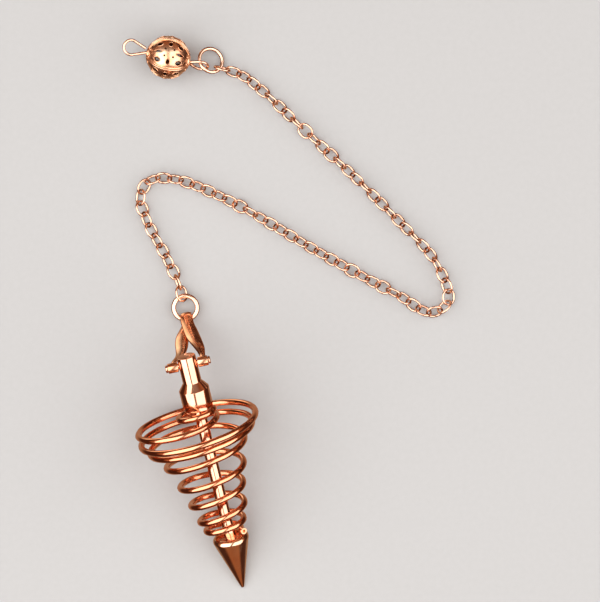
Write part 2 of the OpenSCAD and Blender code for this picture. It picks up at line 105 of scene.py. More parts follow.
def turnOnLathe(name, profile, steps):  # profile: radius and height in mm, spun round Z
    clearSelection()
    bpy.ops.mesh.primitive_plane_add(size=mm)
    piece = bpy.context.object
    piece.name = name
    bpy.ops.object.mode_set(mode="EDIT")
    bpy.ops.mesh.select_all(action="SELECT")
    bpy.ops.mesh.merge(type="CENTER")
    radius, height = profile[0]
    bpy.ops.transform.translate(value=(radius * mm, 0, height * mm))
    for nextRadius, nextHeight in profile[1:]:
        move = ((nextRadius - radius) * mm, 0, (nextHeight - height) * mm)
        bpy.ops.mesh.extrude_region_move(TRANSFORM_OT_translate={"value": move})
        radius, height = nextRadius, nextHeight
    bpy.ops.mesh.select_all(action="SELECT")
    bpy.ops.mesh.spin(steps=steps, angle=2 * math.pi, center=(0, 0, 0), axis=(0, 0, 1))
    bpy.ops.mesh.select_all(action="SELECT")
    bpy.ops.mesh.remove_doubles(threshold=weld["lathe"])
    bpy.ops.mesh.normals_make_consistent(inside=False)
    bpy.ops.object.mode_set(mode="OBJECT")
    bpy.ops.object.shade_smooth_by_angle(angle=math.radians(smoothTo["lathe"]))
    return piece


def drawWire(name, line, radius):  # line in mm, a round wire with closed ends
    clearSelection()
    bpy.ops.curve.primitive_bezier_curve_add()
    wire = bpy.context.object
    wire.name = name
    shape = wire.data
    shape.splines.clear()
    run = shape.splines.new("POLY")
    run.points.add(len(line) - 1)
    for point, place in zip(run.points, line):
        point.co = (*(place * mm), 1)
    shape.dimensions = "3D"
    shape.twist_mode = "MINIMUM"
    shape.bevel_depth = radius * mm
    shape.bevel_resolution = wireRoundness
    shape.use_fill_caps = True
    bpy.ops.object.convert(target="MESH")
    bpy.ops.object.mode_set(mode="EDIT")
    bpy.ops.mesh.select_all(action="SELECT")
    bpy.ops.mesh.remove_doubles(threshold=weld["wire"])
    bpy.ops.mesh.normals_make_consistent(inside=False)
    bpy.ops.object.mode_set(mode="OBJECT")
    bpy.ops.object.shade_smooth_by_angle(angle=math.radians(smoothTo["wire"]))
    return wire


def joined(name, pieces):
    pick(*pieces)
    bpy.ops.object.join()
    pieces[0].name = name
    return pieces[0]


def rounded(radius, height, corner, turnFrom, turnTo, steps=4):  # a round corner of a lathe profile
    out = []
    for i in range(steps + 1):
        a = math.radians(turnFrom + (turnTo - turnFrom) * i / steps)
        out.append((radius + corner * math.cos(a), height + corner * math.sin(a)))
    return out


def dressed(piece, material, slot, *nodes):
    piece.data.materials.clear()
    piece.data.materials.append(material)
    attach(piece, "root")
    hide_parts(*nodes)
    print("made", piece.name, len(piece.data.polygons))
    return piece


# One plating, polished differently on each kind of piece; its colour is also set lighter on the
# chain, rings and cone as painted light and deeper on the coil as painted shade
plating = {"cloudDetail": 3, "cloudRoughness": 0.6, "tintFrom": 0.32, "tintTo": 0.68,
           "grainDetail": 4, "grainRoughness": 0.65, "shineFrom": 0.3, "shineTo": 0.7}


def rosePlate(name, look):
    material = bpy.data.materials.new(name)
    material.use_nodes = True
    nodes = material.node_tree.nodes
    links = material.node_tree.links
    shader = nodes["Principled BSDF"]
    shader.inputs["Metallic"].default_value = 1.0
    shader.inputs["Specular IOR Level"].default_value = 0.5
    where = nodes.new("ShaderNodeTexCoord")
    grainWay = nodes.new("ShaderNodeMapping")
    grainWay.vector_type = "TEXTURE"
    grainWay.inputs["Rotation"].default_value = [math.radians(a) for a in look["grainTurn"]]
    grainWay.inputs["Scale"].default_value = look["grainStretch"]
    links.new(where.outputs["Object"], grainWay.inputs["Vector"])
    clouds = nodes.new("ShaderNodeTexNoise")  # slow drift of the plating's colour
    clouds.inputs["Scale"].default_value = look["cloudScale"]
    clouds.inputs["Detail"].default_value = plating["cloudDetail"]
    clouds.inputs["Roughness"].default_value = plating["cloudRoughness"]
    links.new(where.outputs["Object"], clouds.inputs["Vector"])
    tint = nodes.new("ShaderNodeValToRGB")
    tint.color_ramp.elements[0].position = plating["tintFrom"]
    tint.color_ramp.elements[0].color = (*look["deep"], 1)
    tint.color_ramp.elements[1].position = plating["tintTo"]
    tint.color_ramp.elements[1].color = (*look["light"], 1)
    links.new(clouds.outputs["Fac"], tint.inputs["Fac"])
    links.new(tint.outputs["Color"], shader.inputs["Base Color"])
    grain = nodes.new("ShaderNodeTexNoise")  # polishing marks
    grain.inputs["Scale"].default_value = look["grainScale"]
    grain.inputs["Detail"].default_value = plating["grainDetail"]
    grain.inputs["Roughness"].default_value = plating["grainRoughness"]
    links.new(grainWay.outputs["Vector"], grain.inputs["Vector"])
    shine = nodes.new("ShaderNodeMapRange")
    shine.inputs["From Min"].default_value = plating["shineFrom"]
    shine.inputs["From Max"].default_value = plating["shineTo"]
    shine.inputs["To Min"].default_value = look["shine"][0]
    shine.inputs["To Max"].default_value = look["shine"][1]
    links.new(grain.outputs["Fac"], shine.inputs["Value"])
    links.new(shine.outputs["Result"], shader.inputs["Roughness"])
    marks = nodes.new("ShaderNodeBump")
    marks.inputs["Strength"].default_value = look["markStrength"]
    marks.inputs["Distance"].default_value = look["markDepth"] * mm
    links.new(grain.outputs["Fac"], marks.inputs["Height"])
    links.new(marks.outputs["Normal"], shader.inputs["Normal"])
    return material


bobHeading, bobTilt = 12.8, 19.0424
turnedFinish = rosePlate("turnedRosePlate", {
    "light": (0.945, 0.56, 0.39), "deep": (0.92, 0.50, 0.33), "cloudScale": 260,
    "grainTurn": (bobTilt - 90, 0, bobHeading), "grainStretch": (1, 1, 0.06), "grainScale": 900,
    "shine": (0.06, 0.13), "markStrength": 0.25, "markDepth": 0.004})
# lighter colour on the cone: painted light
coneFinish = rosePlate("coneRosePlate", {
    "light": (0.94, 0.65, 0.45), "deep": (0.89, 0.53, 0.34), "cloudScale": 220,
    "grainTurn": (bobTilt - 90, 0, bobHeading), "grainStretch": (1, 1, 12), "grainScale": 1500,
    "shine": (0.10, 0.20), "markStrength": 0.3, "markDepth": 0.004})
# deeper colour on the coil: painted shade
coilFinish = rosePlate("coilRosePlate", {
    "light": (0.925, 0.46, 0.27), "deep": (0.885, 0.37, 0.20), "cloudScale": 180,
    "grainTurn": (0, 0, 0), "grainStretch": (1, 1, 1), "grainScale": 1400,
    "shine": (0.07, 0.15), "markStrength": 0.2, "markDepth": 0.004})
strapFinish = rosePlate("strapRosePlate", {
    "light": (0.97, 0.62, 0.42), "deep": (0.91, 0.42, 0.23), "cloudScale": 200,
    "grainTurn": (0, 0, 0), "grainStretch": (1, 1, 1), "grainScale": 1300,
    "shine": (0.13, 0.21), "markStrength": 0.1, "markDepth": 0.003})
# lighter colour on the rings: painted light
ringFinish = rosePlate("ringRosePlate", {
    "light": (0.98, 0.71, 0.54), "deep": (0.95, 0.60, 0.43), "cloudScale": 300,
    "grainTurn": (0, 0, 0), "grainStretch": (1, 1, 1), "grainScale": 1600,
    "shine": (0.14, 0.24), "markStrength": 0.2, "markDepth": 0.004})
# lighter colour on the chain: painted light
chainFinish = rosePlate("chainRosePlate", {
    "light": (0.98, 0.68, 0.51), "deep": (0.93, 0.54, 0.38), "cloudScale": 350,
    "grainTurn": (0, 0, 0), "grainStretch": (1, 1, 1), "grainScale": 2200,
    "shine": (0.14, 0.26), "markStrength": 0.25, "markDepth": 0.003})
shellFinish = rosePlate("shellRosePlate", {
    "light": (0.985, 0.71, 0.51), "deep": (0.93, 0.48, 0.27), "cloudScale": 420,
    "grainTurn": (0, 0, 0), "grainStretch": (1, 1, 1), "grainScale": 1300,
    "shine": (0.20, 0.32), "markStrength": 0.5, "markDepth": 0.02})
# painted shade on the bead's inner side, by radius
inside = {"from": 4.08, "to": 4.3, "tone": (0.16, 0.06, 0.03)}


# painted shade: the bead's base colour goes to a dark tone towards its centre, so its inner side
# looks shaded
def paintInsideShade(material, centre):
    nodes, links = material.node_tree.nodes, material.node_tree.links
    shader = nodes["Principled BSDF"]
    outer = shader.inputs["Base Color"].links[0].from_socket
    where = nodes.new("ShaderNodeTexCoord")
    away = nodes.new("ShaderNodeVectorMath")
    away.operation = "DISTANCE"
    away.inputs[1].default_value = centre * mm
    depth = nodes.new("ShaderNodeMapRange")
    depth.inputs["From Min"].default_value = inside["from"] * mm
    depth.inputs["From Max"].default_value = inside["to"] * mm
    blend = nodes.new("ShaderNodeMix")
    blend.data_type = "RGBA"
    blend.inputs["A"].default_value = (*inside["tone"], 1)
    links.new(where.outputs["Object"], away.inputs[0])
    links.new(away.outputs["Value"], depth.inputs["Value"])
    links.new(depth.outputs["Result"], blend.inputs["Factor"])
    links.new(outer, blend.inputs["B"])
    links.new(blend.outputs["Result"], shader.inputs["Base Color"])


print("finishes ready")

# Where things lie
layout = {
    "tipAt": Vector((-10.0528, -58.0077, 0.4)), "tipRound": 0.4, "pinHeight": 51.8,
    "loopAt": Vector((-21.8014, -1.33095, 1.4)), "bailLean": 59.5147,
    "lowerRingAt": Vector((-22.1, 1)), "lowerPull": -82.7, "lowerLinkAngle": 105.6,
    "upperRingAt": Vector((-16.7, 53.35)), "upperHookAngle": 207, "upperLinkAngle": -36,
    "upperSlope": 26, "eyeHeading": -11.5, "eyeDip": 11.8851,
    "beadAt": Vector((-25.5944, 53.6893, 4.7))}
bobPlace = (Matrix.Translation(layout["tipAt"] * mm) @ turned(bobHeading, "Z")
            @ turned(bobTilt - 90, "X") @ shifted(0, 0, -layout["tipRound"]))
# paints shade inside the hollow bead
paintInsideShade(shellFinish, layout["beadAt"])
bobSide = flatWay(bobHeading)
bobDown = flatWay(bobHeading - 90)

core = {"stemRadius": 1.25, "seat": 7.6, "collarFrom": 42.1, "collarTo": 46.5, "collarRadius": 3.15,
        "shoulderTo": 48, "shoulderTurn": 52, "neckRadius": 1.95, "top": 53.7, "edge": 0.15}


def makeBobCore():
    edge, stem = core["edge"], core["stemRadius"]
    profile = [(0, core["seat"]), (stem, core["seat"]), (stem, core["collarFrom"])]
    profile += rounded(core["collarRadius"] - edge, core["collarFrom"] + edge, edge, -90, 0)
    profile += rounded(core["collarRadius"] - edge, core["collarTo"] - edge, edge,
                       0, core["shoulderTurn"])
    profile += [(core["neckRadius"], core["shoulderTo"])]
    profile += rounded(core["neckRadius"] - edge, core["top"] - edge, edge, 0, 90)
    profile += [(0, core["top"])]
    turnedCore = setDown(turnOnLathe("bobCore", profile, aroundSteps["bob"]), bobPlace)
    return dressed(turnedCore, turnedFinish, "turned_brass", "bob_core")


makeBobCore()

cone = {"baseRadius": 4.15, "length": 12.5, "tipRound": layout["tipRound"], "tipSteps": 8,
        "shoulder": 0.9, "shoulderSteps": 14, "boreRadius": 1.3, "boreDepth": 1.5}


def makeCone():
    base, length, tip, soft = cone["baseRadius"], cone["length"], cone["tipRound"], cone["shoulder"]
    slope = math.atan((base - tip) / (length - tip))
    lean = math.degrees(slope)
    middle = base - soft * (math.tan(slope) + 1 / math.cos(slope))  # keeps the flank where it is
    profile = rounded(0, tip, tip, -90, -lean, cone["tipSteps"])
    profile += rounded(middle, length - soft, soft, -lean, 90, cone["shoulderSteps"])
    profile += [(cone["boreRadius"], length), (cone["boreRadius"], length - cone["boreDepth"])]
    turnedCone = setDown(turnOnLathe("bobPoint", profile, aroundSteps["bob"]), bobPlace)
    return dressed(turnedCone, coneFinish, "turned_brass", "point")


makeCone()

coil = {"wire": 0.675, "wideRadius": 12.525, "footRadius": 3.625, "topRadius": 3.775, "low": 13.275,
        "high": 41.325, "set": 1.4, "ease": 0.06, "stepsPerTurn": 56, "tailLength": 1.1,
        "tailHeading": -64, "tailBend": 0.45, "tailSteps": 5, "dimple": 0.38, "dimpleDepth": 0.6}
# turns from the top, then shares of radius, height and sideways set
coilRows = [
    (0, 0, 1, -0.55), (0.25, 0, 1, -0.55), (0.5, 0, 0.97, -0.55), (0.75, 0.01, 0.95, -0.55),
    (1, 0.03, 0.942, -0.55), (1.1, 0.1, 0.946, -0.6), (1.2, 0.29, 0.951, -0.7),
    (1.35, 0.7, 0.944, -0.85), (1.5, 1, 0.903, -0.94), (1.7, 1, 0.855, -0.9),
    (2, 0.99, 0.898, -0.86), (2.2, 0.98, 0.914, -0.9), (2.5, 0.95, 0.83, -0.95),
    (2.7, 0.92, 0.79, -0.93), (3, 0.88, 0.832, -0.93), (3.2, 0.84, 0.839, -1),
    (3.5, 0.77, 0.757, -1.07), (3.7, 0.72, 0.737, -1.07), (4, 0.63, 0.718, -1.03),
    (4.2, 0.59, 0.719, -0.93), (4.5, 0.52, 0.614, -0.83), (4.75, 0.475, 0.553, -0.79),
    (5, 0.435, 0.527, -0.75), (5.2, 0.4, 0.518, -0.7), (5.5, 0.355, 0.436, -0.65),
    (5.75, 0.32, 0.389, -0.62), (6, 0.29, 0.373, -0.6), (6.2, 0.265, 0.361, -0.56),
    (6.5, 0.235, 0.274, -0.5), (6.75, 0.21, 0.233, -0.46), (7, 0.185, 0.213, -0.44),
    (7.2, 0.165, 0.204, -0.44), (7.5, 0.13, 0.129, -0.44), (7.75, 0.105, 0.097, -0.45),
    (8, 0.08, 0.083, -0.47), (8.2, 0.055, 0.09, -0.5), (8.5, 0.02, 0.047, -0.55),
    (8.75, 0.01, 0.016, -0.64), (9, 0, 0, -0.72)]


def coilShare(turns, column):
    def read(t):
        if t <= coilRows[0][0]:
            return coilRows[0][column]
        for a, b in zip(coilRows, coilRows[1:]):
            if t <= b[0]:
                return a[column] + (b[column] - a[column]) * (t - a[0]) / (b[0] - a[0])
        return coilRows[-1][column]
    ease = coil["ease"]
    return (read(turns - ease) + 2 * read(turns) + read(turns + ease)) / 4


def coilPoint(turns):
    least = coil["topRadius"] if turns < 1 else coil["footRadius"]
    radius = least + coilShare(turns, 1) * (coil["wideRadius"] - least)
    a = -2 * math.pi * turns
    return Vector((radius * math.cos(a) + coil["set"] * coilShare(turns, 3), radius * math.sin(a),
                   coil["low"] + coilShare(turns, 2) * (coil["high"] - coil["low"])))


def makeCoil():
    endFacing = 0.9  # how squarely a face looks along the wire to count as its end
    steps, tailSteps = coil["stepsPerTurn"], coil["tailSteps"]
    line = [coilPoint(i / steps) for i in range(coilRows[-1][0] * steps + 1)]
    run = (line[-1] - line[-2]).normalized()
    out = flatWay(coil["tailHeading"])
    bend = line[-1] + (run + out) * coil["tailBend"] * coil["tailLength"]
    cut = bend + out * (1 - coil["tailBend"]) * coil["tailLength"]
    tail = smoothRun([line[-3], line[-1], bend, cut], tailSteps)[tailSteps:]
    wire = drawWire("bobCoil", line + tail[1:], coil["wire"])
    pick(wire)
    bpy.ops.object.mode_set(mode="EDIT")  # the cut end is drilled to a small cup
    bpy.ops.mesh.select_all(action="DESELECT")
    mesh = bmesh.from_edit_mesh(wire.data)
    for face in mesh.faces:
        near = (face.calc_center_median() - cut * mm).length < coil["wire"] * mm
        face.select = near and face.normal.dot(out) > endFacing
    bmesh.update_edit_mesh(wire.data)
    bpy.ops.mesh.dissolve_faces()
    bpy.ops.mesh.inset(thickness=(coil["wire"] - coil["dimple"]) * mm, depth=0)
    bpy.ops.mesh.extrude_region_move(
        TRANSFORM_OT_translate={"value": tuple(-out * coil["dimpleDepth"] * mm)})
    bpy.ops.object.mode_set(mode="OBJECT")
    return dressed(setDown(wire, bobPlace), coilFinish, "drawn_wire", "spiral")


makeCoil()

crossPin = {"length": 9.4, "shank": 0.6, "head": 0.8, "headLength": 0.4, "crown": 0.2,
            "crownSteps": 5, "cup": 0.32, "cupDepth": 0.16, "cupFloor": 0.7, "cupSide": 0.8,
            "cupLip": 0.02}


def makeCrossPin():
    half = crossPin["length"] / 2
    crown, cup, depth = crossPin["crown"], crossPin["cup"], crossPin["cupDepth"]
    under = half - crossPin["headLength"]
    head = [(0, half - depth), (cup * crossPin["cupFloor"], half - depth * crossPin["cupSide"])]
    head += [(cup, half - crossPin["cupLip"])]
    head += rounded(crossPin["head"] - crown, half - crown, crown, 90, 0, crossPin["crownSteps"])
    head += [(crossPin["head"], under), (crossPin["shank"], under)]
    profile = [(r, -z) for r, z in head] + [(r, z) for r, z in reversed(head)]
    pin = turnOnLathe("crossPin", profile, aroundSteps["small"])
    return dressed(setDown(pin, bobPlace @ shifted(0, 0, layout["pinHeight"]) @ turned(90, "Y")),
                   turnedFinish, "turned_brass", "cross_pin")


makeCrossPin()

# A strap folded round the lower ring, with two knuckles on the pin
bail = {"length": 18.3, "width": 2.7, "thick": 0.65, "loopRadius": 1.075, "loopNarrow": 0.85,
        "loopSweep": 100, "loopSteps": 8, "perStation": 4, "skew": 1.1, "sides": 24,
        "knuckleAt": 3.15, "knuckleRadius": 1.05, "knuckleBore": 0.7, "knuckleLength": 2.1,
        "knuckleEdge": 0.12, "knuckleSteps": 3}
# share of the length, left place, right place, loop radius share, width share
legRows = [
    (0.03, 0, 0, 0.96, 0.9), (0.1, -0.05, 0.03, 0.75, 1), (0.2, -0.18, 0.1, 0.6, 1),
    (0.33, -0.36, 0.25, 0.5, 1.07), (0.47, -0.42, 0.42, 0.5, 1.07), (0.6, -0.44, 0.62, 0.5, 0.95),
    (0.75, -0.55, 0.86, 0.3, 0.72), (0.88, -0.9, 0.98, 0, 0.45), (0.96, -1, 1, 0, 0.5)]


def makeBail():
    lean = math.radians(layout["bailLean"])
    rise = Vector((bobDown.x * math.cos(lean), bobDown.y * math.cos(lean), math.sin(lean)))
    face = rise.cross(bobSide)
    place = frameOf(rise, bobSide, face, layout["loopAt"] - bobSide * bail["skew"])
    skew, loop = bail["skew"], bail["loopRadius"]

    def leg(row, way):
        side = row[1] if way < 0 else row[2]
        return Vector((row[0] * bail["length"], side * bail["knuckleAt"] + skew * (1 - row[0]),
                       way * row[3] * loop))
    stations = [(leg(row, -1), row[4]) for row in reversed(legRows)]
    for i in range(bail["loopSteps"] + 1):
        a = math.radians(bail["loopSweep"] * (2 * i / bail["loopSteps"] - 1))
        stations.append((Vector((-loop * math.cos(a), skew, loop * math.sin(a))),
                         bail["loopNarrow"]))
    stations += [(leg(row, 1), row[4]) for row in legRows]
    line = smoothRun([s[0] for s in stations], bail["perStation"])
    widths = smoothRun([Vector((s[1], 0, 0)) for s in stations], bail["perStation"])
    clearSelection()
    bpy.ops.mesh.primitive_circle_add(vertices=bail["sides"], radius=mm, fill_type="NGON")
    strap = bpy.context.object
    bpy.ops.object.mode_set(mode="EDIT")
    mesh = bmesh.from_edit_mesh(strap.data)

    def layRing(ring, i):  # puts the selected end ring on its station
        way = (line[min(i + 1, len(line) - 1)] - line[max(i - 1, 0)]).normalized()
        across = (Vector((0, 1, 0)) - way * way.y).normalized()
        thin = way.cross(across)
        for k, vertex in enumerate(ring):
            a = 2 * math.pi * k / len(ring)
            vertex.co = (line[i] + across * bail["width"] * widths[i].x / 2 * math.cos(a)
                         + thin * bail["thick"] / 2 * math.sin(a)) * mm
    ring = [corner.vert for corner in list(mesh.faces)[0].loops]
    layRing(ring, 0)
    for i in range(1, len(line)):
        bmesh.update_edit_mesh(strap.data)
        last = [vertex.co.copy() for vertex in ring]
        bpy.ops.mesh.extrude_region_move(TRANSFORM_OT_translate={"value": (0, 0, 0)})
        mesh = bmesh.from_edit_mesh(strap.data)
        fresh = [vertex for vertex in mesh.verts if vertex.select]
        ring = [min(fresh, key=lambda vertex: (vertex.co - co).length) for co in last]
        layRing(ring, i)
    bmesh.update_edit_mesh(strap.data)
    bpy.ops.mesh.select_all(action="SELECT")
    bpy.ops.mesh.normals_make_consistent(inside=False)
    bpy.ops.object.mode_set(mode="OBJECT")
    bpy.ops.object.shade_smooth_by_angle(angle=math.radians(smoothTo["strap"]))
    setDown(strap, place)
    half, bore, edge = bail["knuckleLength"] / 2, bail["knuckleBore"], bail["knuckleEdge"]
    inner, steps = bail["knuckleRadius"] - edge, bail["knuckleSteps"]
    profile = [(bore, -half)] + rounded(inner, -half + edge, edge, -90, 0, steps)
    profile += rounded(inner, half - edge, edge, 0, 90, steps) + [(bore, half), (bore, -half)]
    parts = [strap]
    for way in (-1, 1):
        knuckle = turnOnLathe("knuckle", profile, aroundSteps["small"])
        where = shifted(way * bail["knuckleAt"], 0, layout["pinHeight"])
        parts.append(setDown(knuckle, bobPlace @ where @ turned(90, "Y")))
    return dressed(joined("bailStrap", parts), strapFinish, "drawn_wire", "bail")


makeBail()

# slack is the last link's play in the ring, hookZ the wire's height in the eye pin's loop
lowerRing = {"radius": 2.5, "wire": 0.5, "cutAt": 120, "cut": 0.08, "slack": 0.2}
upperRing = {"radius": 2.575, "wire": 0.375, "cutAt": -60, "cut": 0.08, "slack": 0.55,
             "hookZ": 3.03261}
ringMesh = {"sides": 28, "steps": 110}


def ringPlace(at, height, heading, slope):
    return shifted(*at, height) @ turned(heading, "Z") @ turned(-slope, "Y")


def makeJumpRing(name, ring, place, node):
    opening = math.degrees(ring["cut"] / ring["radius"])
    clearSelection()
    bpy.ops.mesh.primitive_circle_add(
        vertices=ringMesh["sides"], radius=ring["wire"] * mm, fill_type="NGON",
        location=(ring["radius"] * mm, 0, 0), rotation=(math.pi / 2, 0, 0))
    piece = bpy.context.object
    piece.name = name
    bpy.ops.object.transform_apply(location=True, rotation=True, scale=True)
    bpy.ops.object.mode_set(mode="EDIT")
    bpy.ops.mesh.select_all(action="SELECT")
    bpy.ops.mesh.spin(steps=ringMesh["steps"], angle=math.radians(360 - opening), center=(0, 0, 0),
                      axis=(0, 0, 1))
    bpy.ops.mesh.select_all(action="SELECT")
    bpy.ops.mesh.normals_make_consistent(inside=False)
    bpy.ops.object.mode_set(mode="OBJECT")
    bpy.ops.object.shade_smooth_by_angle(angle=math.radians(smoothTo["wire"]))
    setDown(piece, place @ turned(ring["cutAt"] + opening / 2, "Z"))
    return dressed(piece, ringFinish, "ring_wire", node)


# One link, copied along the chain's line. A link leans by lie, every other one by oddExtra more,
# and sway and beat vary the lean a little
chain = {"linkLength": 3.75, "linkWidth": 3.4, "wire": 0.24, "lie": 48, "oddExtra": 7, "sway": 3,
         "beat": 53, "play": 0.15, "gap": 0.1, "perKnot": 12, "linkSteps": 36, "wireSides": 10}
# leans, and the numbers of the links that lie at them instead of like their fellows
linkLeans = {76: (0, 5, 8, 13, 16, 19, 22, 25, 67), 68: (10, 34, 48), 35: (9, 12, 28, 35, 38, 49)}
chainRoute = [
    (-9.8, 50.1), (-4.2, 45.5), (1.4, 40.2), (9, 33.1), (16.3, 26.2), (23.2, 19.2), (29.2, 13.1),
    (31.7, 9.2), (33.4, 5.4), (33.8, 3.2), (33.1, 1.1), (30.9, 0.1), (28.2, 0.2), (24, 3.1),
    (16.4, 7.1), (5, 13.4), (-3.9, 18.7), (-12.9, 23.7), (-22.2, 27.7), (-27.6, 28.5),
    (-30.2, 27.7), (-31.6, 25.3), (-31.6, 22.9), (-29.1, 16.9), (-27, 13.3), (-23.8, 6.8)]
halfLong = chain["linkLength"] / 2 - chain["wire"]
halfWide = chain["linkWidth"] / 2 - chain["wire"]


def ringReach(ring):  # from the ring's centre to the middle of the link in it
    return ring["radius"] + halfLong - ring["wire"] - chain["wire"] - chain["gap"] - ring["slack"]


def linkPlaces():
    first = layout["upperRingAt"] + flatWay(layout["upperLinkAngle"]).xy * ringReach(upperRing)
    last = layout["lowerRingAt"] + flatWay(layout["lowerLinkAngle"]).xy * ringReach(lowerRing)
    run = smoothRun([first] + [Vector(p) for p in chainRoute] + [last], chain["perKnot"])
    travel = [0]
    for a, b in zip(run, run[1:]):
        travel.append(travel[-1] + (b - a).length)
    whole = travel[-1]
    steps = round(whole / (chain["linkLength"] - 4 * chain["wire"] - 2 * chain["play"]))
    pitch = whole / steps

    def spot(s):
        for i in range(1, len(travel)):
            if s <= travel[i]:
                return run[i - 1].lerp(run[i], (s - travel[i - 1]) / (travel[i] - travel[i - 1]))
        return run[-1]

    def meeting(i):
        s = (i - 0.5) * pitch
        if s < 0:
            return spot(0) * 2 - spot(-s)
        if s > whole:
            return spot(whole) * 2 - spot(2 * whole - s)
        return spot(s)

    def roll(i):
        way = 1 if i % 2 == 1 else -1
        for lean, some in linkLeans.items():
            if i in some:
                return way * lean
        sway = chain["sway"] * math.sin(math.radians(i * chain["beat"]))
        return way * (chain["lie"] + (i % 2) * chain["oddExtra"] + sway)

    def rest(i):
        return chain["wire"] + halfWide * math.sin(math.radians(abs(roll(i))))
    places = []
    for i in range(steps + 1):
        middle = (meeting(i) + meeting(i + 1)) / 2
        ahead = (meeting(i + 1) - meeting(i)).normalized()
        height = max(rest(i), (rest(i - 1) + rest(i + 1)) / 2)
        a = math.radians(roll(i))
        along = Vector((ahead.x, ahead.y, 0))
        across = Vector((-ahead.y * math.cos(a), ahead.x * math.cos(a), math.sin(a)))
        at = Vector((middle.x, middle.y, height))
        places.append(frameOf(along, across, along.cross(across), at))
    return places, height  # the last link's height sets the slope of the lower ring


def makeLink():
    clearSelection()
    bpy.ops.mesh.primitive_torus_add(
        major_radius=halfWide * mm, minor_radius=chain["wire"] * mm,
        major_segments=chain["linkSteps"], minor_segments=chain["wireSides"])
    link = bpy.context.object
    middleBand = 0.00001  # points this near the middle stay where they are
    for way in (-1, 1):  # the round ring is drawn out to a slightly long link
        bpy.ops.object.mode_set(mode="EDIT")
        bpy.ops.mesh.select_all(action="DESELECT")
        mesh = bmesh.from_edit_mesh(link.data)
        for vertex in mesh.verts:
            vertex.select = vertex.co.x * way > middleBand
        mesh.select_flush(True)
        bmesh.update_edit_mesh(link.data)
        bpy.ops.transform.translate(value=(way * (halfLong - halfWide) * mm, 0, 0))
        bpy.ops.object.mode_set(mode="OBJECT")
    pick(link)
    bpy.ops.object.shade_smooth()
    return link


def makeChain():
    places, lastHeight = linkPlaces()
    first = makeLink()
    links = [first]
    for place in places[1:]:
        copy = first.copy()
        copy.data = first.data.copy()
        bpy.context.collection.objects.link(copy)
        links.append(setDown(copy, place))
    setDown(first, places[0])
    dressed(joined("cableChain", links), chainFinish, "chain_wire", "chain")
    return lastHeight


lastHeight = makeChain()
print("chain laid")
lowerHigh = layout["loopAt"].z
lowerMid = (lowerHigh + lastHeight) / 2
lowerSlope = math.degrees(math.asin((lowerHigh - lastHeight) / (2 * lowerRing["radius"])))
lowerPlace = ringPlace(layout["lowerRingAt"], lowerMid, layout["lowerPull"], lowerSlope)
makeJumpRing("lowerRing", lowerRing, lowerPlace, "ring_lower")
upperMid = upperRing["hookZ"] - upperRing["radius"] * math.sin(math.radians(layout["upperSlope"]))
upperPlace = ringPlace(layout["upperRingAt"], upperMid,
                       layout["upperHookAngle"], layout["upperSlope"])
makeJumpRing("upperRing", upperRing, upperPlace, "ring_upper")

eyePin = {"wire": 0.3, "freeLength": 5.2, "heldLength": 4.3, "loopWidth": 3.7, "lean": 0.36,
          "corners": 48, "endGap": 0.1, "heldRoll": 66, "beadRadius": 4.7}


def dropLoop(length):
    r = eyePin["loopWidth"] / 2 - eyePin["wire"]
    mid = Vector((length - r - eyePin["wire"], -eyePin["lean"]))
    away = mid.length
    wide = math.pi - math.atan2(-mid.y, mid.x) - math.acos(min(1, r / away))
    bend = []
    for i in range(eyePin["corners"] + 1):
        a = wide * (1 - 2 * i / eyePin["corners"])
        bend.append(mid + Vector((math.cos(a), math.sin(a))) * r)
    return bend + [Vector((eyePin["wire"], -2 * eyePin["lean"] - eyePin["endGap"]))]


def makeEyePin():
    dip = math.radians(layout["eyeDip"])
    way = turned(layout["eyeHeading"], "Z").to_3x3() @ Vector((math.cos(dip), 0, -math.sin(dip)))
    across = up.cross(way).normalized()
    over = way.cross(across)
    roll = math.radians(eyePin["heldRoll"])
    heldSide = across * math.cos(roll) + over * math.sin(roll)
    at, r = layout["beadAt"], eyePin["beadRadius"]
    free = [at - way * (r + p.x) - across * p.y for p in dropLoop(eyePin["freeLength"])]
    held = [at + way * (r + p.x) + heldSide * p.y for p in dropLoop(eyePin["heldLength"])]
    line = free[::-1] + [at - way * r, at + way * r] + held
    return dressed(drawWire("eyePin", line, eyePin["wire"]), ringFinish, "ring_wire", "eye_pin")


makeEyePin()

# an opening is its length and width; a rise is counted from the bead's waist, a spread from the
# middle of a panel
bead = {"shell": 4.5, "outer": eyePin["beadRadius"], "wall": 0.55, "segments": 96, "rings": 64,
        "roll": 37, "tilt": 6.72, "panels": 4, "petal": (1.5, 1), "slot": (1.8, 0.6),
        "middle": (1.2, 0.8), "rise": 30, "spread": 25, "dot": 0.225, "dotSides": 16, "dotRise": 12,
        "dotSpread": 10, "poleDots": 8, "poleRise": 54, "leafSides": 28, "cutFrom": 3,
        "cutDepth": 3, "bore": 0.95, "boreSides": 32, "boreDepth": 12, "rib": 0.75, "ribLine": 0.16,
        "ribSink": 0.1, "lineTurn": 60, "lineSteps": 6, "rimWire": 0.075, "rimSink": 0.03,
        "rimLong": 0.52, "rimWide": 0.56, "rimSteps": 32, "rimSides": 8, "pearl": 0.2, "pearls": 16,
        "pearlRise": 64, "pearlSink": 0.04, "pearlSides": 14, "pearlRings": 8, "boss": 1.5,
        "bossSink": 0.12, "bossDepth": 0.4, "bossEdge": 0.15, "lip": 0.1, "lipRise": 0.06,
        "lipSteps": 3}


